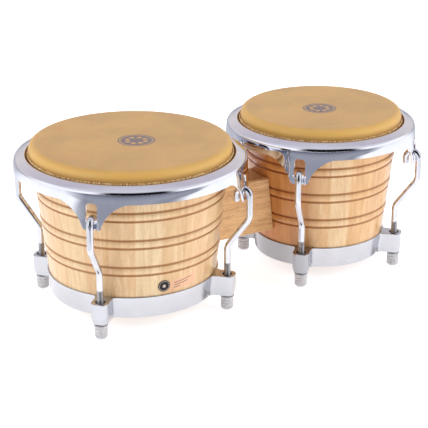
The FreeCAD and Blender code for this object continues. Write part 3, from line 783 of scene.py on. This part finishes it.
def lip_profile(drum, skirt_radius, foot):
    """Section of the sheet, as (radius, z): over the shoulder to the seat, and back under it."""
    high = drum.rim_high
    lean = asin((foot - SKIRT_CURVE_START_Z) / SKIRT_CURVE_RADIUS)
    start = degrees(lean)
    outer = skirt_radius - skirt_lean(foot)
    shoulder = (outer - RIM_SHOULDER * cos(lean), foot - RIM_SHOULDER * sin(lean))
    lip = drum.radius + LIP_OUT
    roll = (lip + LIP_ROLL, high - LIP_ROLL)
    tangent = acos((LIP_ROLL - RIM_SHOULDER) / dist(roll, shoulder))
    slope = degrees(atan2(shoulder[1] - roll[1], shoulder[0] - roll[0]) + tangent)
    return (arc(shoulder, RIM_SHOULDER, start, slope, 14)
            + arc(roll, LIP_ROLL, slope, 180, 10)
            + arc((lip + 0.0005, high - SHEET + 0.0005), 0.0005, 180, 270, 3)
            + [(lip + RIM_SEAT, high - SHEET)]
            + arc(shoulder, RIM_SHOULDER - SHEET, slope, start, 8)[:-1] + [(outer - SHEET, foot)])


def make_rim(drum, material):
    """Pressed rim: lip, shoulder and skirt, with four ears that bulge out and are slotted for hooks."""
    skirt_radius = drum.radius + RIM_OUT
    half = skirt_radius * pi / 4
    columns = 2 * round(half / RIM_CELL)
    skirt_top = drum.rim_high - SHOULDER_DROP
    lower, slot, points, triangles = flat_skirt(half, drum.rim_low, skirt_top, columns)
    vertices, faces = [], []

    def place_on(turn, along, z, radius):
        """A vertex along the skirt from an ear's middle, bulged out of the plain rim's radius there."""
        angle = turn + along / skirt_radius
        bulged = radius + ear_offset(along, z)
        vertices.append((drum.x + bulged * cos(angle), bulged * sin(angle), z))
        return len(vertices) - 1

    def on_skirt(turn, along, z, depth):
        return place_on(turn, along, z, skirt_radius - skirt_lean(z) - depth)

    for turn in LUG_TURNS:
        for depth in (0.0, SHEET):
            numbers = [on_skirt(turn, *p, depth) for p in points]
            faces += [[numbers[k] for k in t] for t in triangles]
        for edge, closed in ((lower, False), (slot, True)):
            normals = outward(edge, closed)
            bands = []
            for step in range(7):
                share = step / 6
                out = EDGE_ROUND * sqrt(max(0.0, 1 - (2 * share - 1) ** 2))
                bands.append([on_skirt(turn, p[0] + n[0] * out, p[1] + n[1] * out, SHEET * share)
                              for p, n in zip(edge, normals)])
            faces += stitched(bands, closed_rows=closed)
    spread = [(turn, 2 * half * k / columns - half) for turn in LUG_TURNS for k in range(columns)]
    bands = [[place_on(turn, along, z, r) for turn, along in spread]
             for r, z in lip_profile(drum, skirt_radius, skirt_top)]
    faces += stitched(bands)
    rim = build(drum.size + "_rolled_rim", vertices, faces, material, sharp=55, weld=2e-6)
    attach(rim, drum.tension_body)
    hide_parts(drum.size + "_rim")


# ---- Lugs ----
def lug_path(drum):
    """Centre line of a lug in its own upright plane, from the tip to the bottom end, as (radius, z)."""
    hook = (drum.radius + HOOK_OUT, drum.lug_high - HOOK_RADIUS - ROD_RADIUS)
    upper_r, lower_r = hook[0] + HOOK_RADIUS, drum.lug_radius
    slope = atan2(upper_r - lower_r, UPPER_BEND_Z - LOWER_BEND_Z)
    setback = BEND_RADIUS * tan(slope / 2)
    lean = degrees(slope)
    upper = (upper_r - BEND_RADIUS, UPPER_BEND_Z + setback)
    lower = (lower_r + BEND_RADIUS, LOWER_BEND_Z - setback)
    tip = [TIP_ROUND * share for share in (0.0, 0.08, 0.25, 0.5, 0.75, 1.0)] + [0.004]
    length = THREAD_TOP_Z - drum.lug_low
    rows = round(length / (THREAD_PITCH / 6))
    return without_repeats(
        [(hook[0] - HOOK_RADIUS, HOOK_TIP_Z + up) for up in tip]
        + arc(hook, HOOK_RADIUS, 180, 0, 24)
        + divided((upper_r, hook[1] - ROD_CELL), (upper_r, upper[1]), ROD_CELL)
        + arc(upper, BEND_RADIUS, 0, -lean, 12)
        + arc(lower, BEND_RADIUS, 180 - lean, 180, 12)
        + [(lower_r, z) for z in (lower[1] - ROD_CELL, THREAD_TOP_Z + 0.0025, THREAD_TOP_Z)]
        + [(lower_r, THREAD_TOP_Z - length * k / rows) for k in range(1, rows + 1)])


def rod_radius(z, turn, from_tip, from_end):
    """Radius of the rod at one place: rounded at both ends, with a helical thread on the lower part."""
    radius = ROD_RADIUS
    if z < THREAD_TOP_Z:
        phase = (z / THREAD_PITCH + turn / tau) % 1.0
        cut = 1 - abs(2 * phase - 1)
        radius -= THREAD_DEPTH * smooth_step(cut, 0.1, 0.9) * smooth_step(THREAD_TOP_Z - z, 0.0, 0.002)
    for distance in (from_tip, from_end):
        if distance < TIP_ROUND:
            radius -= TIP_ROUND - sqrt(TIP_ROUND**2 - (TIP_ROUND - distance) ** 2)
    return radius


def make_lug(drum, number, turn, material):
    """Hooked rod with its threaded end, swept along its centre line."""
    path = lug_path(drum)
    along = [0.0]
    for before, after in zip(path, path[1:]):
        along.append(along[-1] + dist(before, after))
    steps = 24
    vertices = []
    for (r, z), (nx, nz), walked in zip(path, outward(path, closed=False), along):
        for s in range(steps):
            a = tau * s / steps
            radius = rod_radius(z, a, walked, along[-1] - walked)
            off = radius * cos(a)
            x, y = turned(r + nx * off, radius * sin(a), turn)
            vertices.append((drum.x + x, y, z + nz * off))
    rows = [list(range(k * steps, (k + 1) * steps)) for k in range(len(path))]
    faces = stitched(rows) + [rows[0], rows[-1]]
    name = "%s_hook_rod_%d" % (drum.size, number)
    lug = build(name, vertices, faces, material, sharp=70)
    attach(lug, drum.tension_body)
    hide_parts("%s_lug_%d" % (drum.size, number))


# ---- Bottom rings ----
def ring_row(drum, z, inset):
    """Plan of the ring and its four bosses at a height, shrunk by inset, with the same number of
    points at every height."""
    low = min(1.0, max(0.0, (BOSS_TAPER_Z - z) / (BOSS_TAPER_Z - drum.ring_low)))
    radius = drum.shell_radius(z) + RING_WALL - inset
    side = BOSS_HALF_WIDTH - BOSS_FOOT_NARROWING * low - inset
    corner, fillet = BOSS_CORNER - inset, BOSS_FILLET + inset
    flat_start = drum.lug_radius + BOSS_NOSE - BOSS_FOOT_SETBACK * low - inset - corner
    flat_end = sqrt((radius + fillet) ** 2 - (side + fillet) ** 2)
    leave = degrees(atan2(side + fillet, flat_end))
    near, far = flat_start - BOSS_CELL, flat_end + BOSS_CELL
    half = (arc((flat_start, side - corner), corner, 0, 90, 8)
            + [(near + (far - near) * k / 7, side) for k in range(8)]
            + arc((flat_end, side + fillet), fillet, -90, leave - 180, 8))
    quarter = ([(x, -y) for x, y in reversed(half)] + half
               + arc((0.0, 0.0), radius, leave, 90 - leave, 30)[1:-1])
    plan = [turned(x, y, turn) for turn in LUG_TURNS for x, y in quarter]
    return [(drum.x + x, y, z) for x, y in plan]


def circle_row(x, y, z, radius, steps):
    return [(*p, z) for p in arc((x, y), radius, 0, 360, steps)[:-1]]


def make_ring(drum, material):
    """Cast ring that cups the shell, with four bored bosses that run smoothly into it."""
    low, high, floor = drum.ring_low, drum.ring_high, drum.shell_low
    seat_top, seat_floor = (drum.shell_radius(z) + 0.0001 for z in (high, floor))
    mouth = drum.shell_radius(floor) - SHELL_WALL
    work = bmesh.new()
    top, bottom = [], []  # edges that bound the two flat faces

    def add_wall(rows):
        """A wall through rows of points, from the first to the last, and the edges of both."""
        made = [[work.verts.new(p) for p in row] for row in rows]
        for corners in stitched(made):
            work.faces.new(corners)
        return [[work.edges.get(pair) for pair in zip(row, row[1:] + row[:1])]
                for row in (made[0], made[-1])]

    foot = arc((low + RING_FOOT_ROUND, RING_FOOT_ROUND), RING_FOOT_ROUND, 180, 270, 6)
    edge = arc((high - RING_EDGE, RING_EDGE), RING_EDGE, -90, 0, 5)
    levels = foot + [(z, 0.0) for z in RING_LEVELS] + edge
    walls = [[ring_row(drum, z, inset) for z, inset in reversed(levels)]]
    inner = [(seat_top + 0.0002, high), (seat_top, high - 0.0003), (seat_floor, floor), (mouth, floor),
             (mouth, low + 0.0003), (mouth + 0.0003, low)]
    walls.append([circle_row(drum.x, 0.0, z, r, 160) for r, z in inner])
    bore = [(0.0004, high), (0.0001, high - 0.0001), (0.0, high - 0.0004),
            (0.0, low + 0.0003), (0.0003, low)]
    walls += [[circle_row(*drum.lug_place(turn), z, BOSS_HOLE_RADIUS + out, 40) for out, z in bore]
              for turn in LUG_TURNS]
    for rows in walls:
        first, last = add_wall(rows)
        top += first
        bottom += last
    for edges in (top, bottom):
        bmesh.ops.triangle_fill(work, use_beauty=True, use_dissolve=False, edges=edges)
    work.verts.index_update()
    vertices = [tuple(v.co) for v in work.verts]
    faces = [[v.index for v in face.verts] for face in work.faces]
    work.free()
    ring = build(drum.size + "_cast_ring", vertices, faces, material, sharp=40)
    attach(ring, "drum_frame")
    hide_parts(drum.size + "_bottom_ring")


# ---- Nut caps ----
def make_cap(drum, number, turn, material):
    """Ribbed cap with a rounded foot over one tuning nut."""
    radius, low, high = drum.cap_radius, drum.cap_low, drum.cap_high
    foot = [(0.0, low)] + arc((radius - CAP_ROUND, low + CAP_ROUND), CAP_ROUND, -90, 0, 9)
    rows = 34
    start = low + CAP_ROUND
    ribs = []
    for k in range(1, rows):
        z = start + (high - 0.0004 - start) * k / rows
        wave = abs(cos(pi * (z - CAP_RIB_START) / CAP_RIB_PITCH))
        ribs.append((radius - CAP_RIB_DEPTH * wave**5, z))
    rim = [(radius - 0.00005, high - 0.0003), (radius - 0.0004, high), (CAP_WALL_RADIUS, high)]
    socket = [(CAP_WALL_RADIUS, NUT_BOTTOM_Z), (CAP_WELL_RADIUS, NUT_BOTTOM_Z),
              (CAP_WELL_RADIUS, low + CAP_FLOOR), (0.0, low + CAP_FLOOR)]
    vertices, faces = lathe(foot + ribs + rim + socket, 48, *drum.lug_place(turn))
    name = "%s_ribbed_cap_%d" % (drum.size, number)
    cap = build(name, vertices, faces, material, sharp=50)
    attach(cap, "%s_nut_group_%d" % (drum.size, number))
    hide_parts("%s_nut_cap_%d" % (drum.size, number))


# ---- Finishes on the pieces that keep their CAD shape ----
def finish_node(name, material):
    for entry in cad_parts[name].material_slots:
        entry.material = material


# ---- Studio ----
CAMERA_AZIMUTH = radians(-29.5)
CAMERA_ELEVATION = radians(20.95)
CAMERA_DISTANCE = 1.692
CAMERA_TARGET = Vector((-0.010, 0.0, 0.0801))
CAMERA_LENS = 127.0
SOFTBOX_TARGET = (0.0, 0.0, 0.10)
VIEWER_SIDE = (-0.350, -0.937, 0.0)
ROOM_STRENGTH = 1.25
# Parts of the room, by the sine of the height above the horizon and the colour there
CEILING = (0.93, (0.60, 0.60, 0.66))
FAR_ROOM = (
    (0.0, (0.30, 0.30, 0.34)), (0.10, (0.50, 0.49, 0.53)), (0.30, (0.64, 0.60, 0.60)),
    (0.60, (0.54, 0.50, 0.55)), (0.80, (0.49, 0.46, 0.53)), CEILING)
SIDE_ROOM = (
    (0.0, (0.90, 0.90, 0.95)), (0.15, (0.98, 0.98, 1.0)), (0.50, (0.96, 0.96, 1.0)),
    (0.72, (0.68, 0.68, 0.74)), CEILING)
NEAR_ROOM = (
    (0.0, (0.006, 0.006, 0.008)), (0.72, (0.010, 0.010, 0.013)), (0.84, (0.26, 0.26, 0.30)),
    CEILING)
# Cosines of the turn away from the viewer's side at which one part of the room gives way to the next,
# and at which the card turns grey, toward the viewer or away
FAR_TO_SIDE = (-0.65, -0.25)
SIDE_TO_NEAR = (0.70, 0.91)
CARD_GREYING = (0.35, 0.65)
FLOOR_REACH = 8.0
# The card stands in for the floor in reflections
CARD_Z = 0.001
CARD_START = 0.36
CARD_END = 6.0
CARD_STRENGTH = 1.3
BACKDROP_TONE = (0.82, 0.82, 0.83)  # what the camera sees beyond the floor
PALE_TONES = (  # metres from the middle, and the brightness there
    (0.36, (0.96, 0.97, 1.0)), (0.70, (0.94, 0.95, 1.0)), (2.0, (0.78, 0.79, 0.85)),
    (6.0, (0.66, 0.66, 0.74)))
GREY_TONES = (  # metres toward the viewer, and what is left of the brightness there
    (-6.0, (0.45, 0.45, 0.49)), (-0.46, (0.50, 0.50, 0.54)), (-0.34, (0.74, 0.74, 0.78)),
    (-0.20, (1.0, 1.0, 1.0)), (0.458, (1.0, 1.0, 1.0)), (0.478, (0.22, 0.23, 0.26)),
    (0.55, (0.27, 0.28, 0.31)), (0.62, (0.32, 0.33, 0.36)), (0.90, (0.28, 0.29, 0.33)),
    (2.0, (0.19, 0.19, 0.23)), (6.0, (0.04, 0.04, 0.05)))


def aim(thing, target):
    thing.rotation_euler = (Vector(target) - thing.location).to_track_quat("-Z", "Y").to_euler()


def make_camera():
    data = bpy.data.cameras.new("camera")
    data.lens = CAMERA_LENS
    data.sensor_width = 36.0
    data.clip_end = 50.0
    camera = show("camera", data)
    level = cos(CAMERA_ELEVATION)
    back = Vector((*turned(0.0, -level, CAMERA_AZIMUTH), sin(CAMERA_ELEVATION)))
    camera.location = CAMERA_TARGET + CAMERA_DISTANCE * back
    aim(camera, CAMERA_TARGET)
    bpy.context.scene.camera = camera


def make_softbox(name, location, width, height, power):
    """Soft light on the object, left out of reflections, which show the room instead."""
    data = bpy.data.lights.new(name, "AREA")
    data.shape = "RECTANGLE"
    data.size, data.size_y = width, height
    data.energy = power
    lamp = show(name, data)
    lamp.location = location
    aim(lamp, SOFTBOX_TARGET)
    lamp.visible_glossy = False


def make_floor():
    look = Shader("studio_floor", {"Roughness": 0.9, "Specular IOR Level": 0.1,
                                   "Emission Color": (1.0, 1.0, 1.0, 1.0), "Emission Strength": 0.67})
    speckle = look.noise(look.place, 3.0, 3.0)
    material = look.paint(look.ramp(speckle, (0.3, (0.86, 0.86, 0.87)), (0.7, (0.89, 0.89, 0.89))))
    corners = [(x * FLOOR_REACH, y * FLOOR_REACH, 0.0) for x, y in ((-1, -1), (1, -1), (1, 1), (-1, 1))]
    show("floor", new_mesh("floor", corners, [(0, 1, 2, 3)], material))


def make_world():
    """Bright room at the object's sides, a grey one behind it, and a dark one with a bright ceiling on
    the viewer's side: polished metal needs something dark to reflect."""
    world = bpy.data.worlds.new("studio")
    world.use_nodes = True
    bpy.context.scene.world = world
    nodes = Nodes(world.node_tree)
    direction = nodes.add("TexCoord").outputs["Generated"]
    height = nodes.split(direction)[2]
    level = nodes.vector_math("NORMALIZE", nodes.scaled(direction, 1.0, 1.0, 0.0))
    toward = nodes.vector_math("DOT_PRODUCT", level, VIEWER_SIDE)
    colour, side, near = (nodes.ramp(height, *stops) for stops in (FAR_ROOM, SIDE_ROOM, NEAR_ROOM))
    for room, spread in ((side, FAR_TO_SIDE), (near, SIDE_TO_NEAR)):
        colour = nodes.mix(nodes.remap(toward, *spread), colour, room)
    seen = nodes.add("LightPath").outputs["Is Camera Ray"]
    nodes.feed_all(nodes.tree.nodes["Background"].inputs,
                   {"Color": nodes.mix(seen, colour, BACKDROP_TONE), "Strength": ROOM_STRENGTH})


def make_reflected_floor():
    """A card for reflections, from a short way out: pale round the object, and grey on the viewer's
    side, where a real studio table would end."""
    material = bpy.data.materials.new("reflected_floor")
    material.use_nodes = True
    nodes = Nodes(material.node_tree)
    nodes.tree.nodes.remove(nodes.tree.nodes["Principled BSDF"])
    place = nodes.add("TexCoord").outputs["Object"]
    away = nodes.vector_math("LENGTH", place)
    toward = nodes.vector_math("DOT_PRODUCT", place, VIEWER_SIDE)
    tones = [nodes.ramp(nodes.remap(metres, -CARD_END, CARD_END, smooth=False),
                        *[((out / CARD_END + 1) / 2, tone) for out, tone in stops])
             for metres, stops in ((away, PALE_TONES), (toward, GREY_TONES))]
    facing = nodes.vector_math("DOT_PRODUCT", nodes.vector_math("NORMALIZE", place), VIEWER_SIDE)
    share = nodes.remap(nodes.math("ABSOLUTE", facing), *CARD_GREYING, smooth=False)
    glow = nodes.add("Emission", nodes.mix(share, *tones, "MULTIPLY"), CARD_STRENGTH)
    nodes.feed(nodes.tree.nodes["Material Output"].inputs["Surface"], glow.outputs[0])
    steps = 96
    vertices = [p for r in (CARD_START, CARD_END) for p in circle_row(0.0, 0.0, CARD_Z, r, steps)]
    faces = stitched([range(steps), range(steps, 2 * steps)])
    card = show("reflected_floor", new_mesh("reflected_floor", vertices, faces, material))
    for kind in ("camera", "diffuse", "shadow", "transmission", "volume_scatter"):
        setattr(card, "visible_" + kind, False)


# ---- The object ----
large, small = Drum("large"), Drum("small")
chrome = polished_metal("rim_chrome", (0.82, 0.83, 0.88), 0.03, 0.07)
rod = rod_chrome()
steel = plated_steel()
washer_rubber = moulded("washer_rubber", (0.17, 0.17, 0.175), (0.26, 0.26, 0.255), 0.5, 0.7)
cap_rubber = moulded("cap_rubber", (0.46, 0.45, 0.46), (0.63, 0.62, 0.63), 0.34, 0.50)
saddle_wood = plank_wood("saddle_wood", (0.55, 0.36, 0.20), (0.40, 0.24, 0.12), 0.6)
block_wood = plank_wood("block_wood", (0.86, 0.52, 0.225), (0.62, 0.31, 0.105), 0.42)

for drum, pale, brown, emblem_centre, emblem_radius in (
        (large, (0.72, 0.500, 0.260), (0.545, 0.325, 0.134), (0.0035, -0.007), 0.020),
        (small, (0.74, 0.445, 0.188), (0.52, 0.262, 0.087), (-0.005, -0.005), 0.019)):
    finish_node(drum.size + "_shell", shell_wood(drum, pale, brown))
    finish_node(drum.size + "_flesh_hoop", steel)
    finish_node(drum.size + "_boss_washers", washer_rubber)
    finish_node(drum.size + "_saddle", saddle_wood)
    make_head(drum, rawhide(drum, emblem_centre, emblem_radius))
    make_collar(drum, cut_skin(drum))
    make_rim(drum, chrome)
    make_ring(drum, turned_aluminium(drum))
    for number, turn in enumerate(LUG_TURNS, start=1):
        make_lug(drum, number, turn, rod)
        make_cap(drum, number, turn, cap_rubber)
        finish_node("%s_tuning_nut_%d" % (drum.size, number), steel)
finish_node("centre_block", block_wood)
for place in ("lower", "upper"):
    for kind in ("bolt", "nut", "washers"):
        finish_node("centre_%s_%s" % (kind, place), steel)
finish_node("badge", badge_enamel(large))

make_camera()
make_floor()
make_world()
make_reflected_floor()
make_softbox("top_softbox", (0.10, 0.30, 1.80), 2.4, 1.9, 6.2)
make_softbox("right_softbox", (1.20, -1.20, 0.60), 1.2, 1.0, 9.5)
make_softbox("left_softbox", (-1.60, -0.20, 0.60), 1.0, 1.1, 4.5)
make_softbox("back_softbox", (-0.90, 1.60, 0.70), 1.2, 0.7, 6.5)
bpy.context.scene.view_settings.view_transform = "Standard"
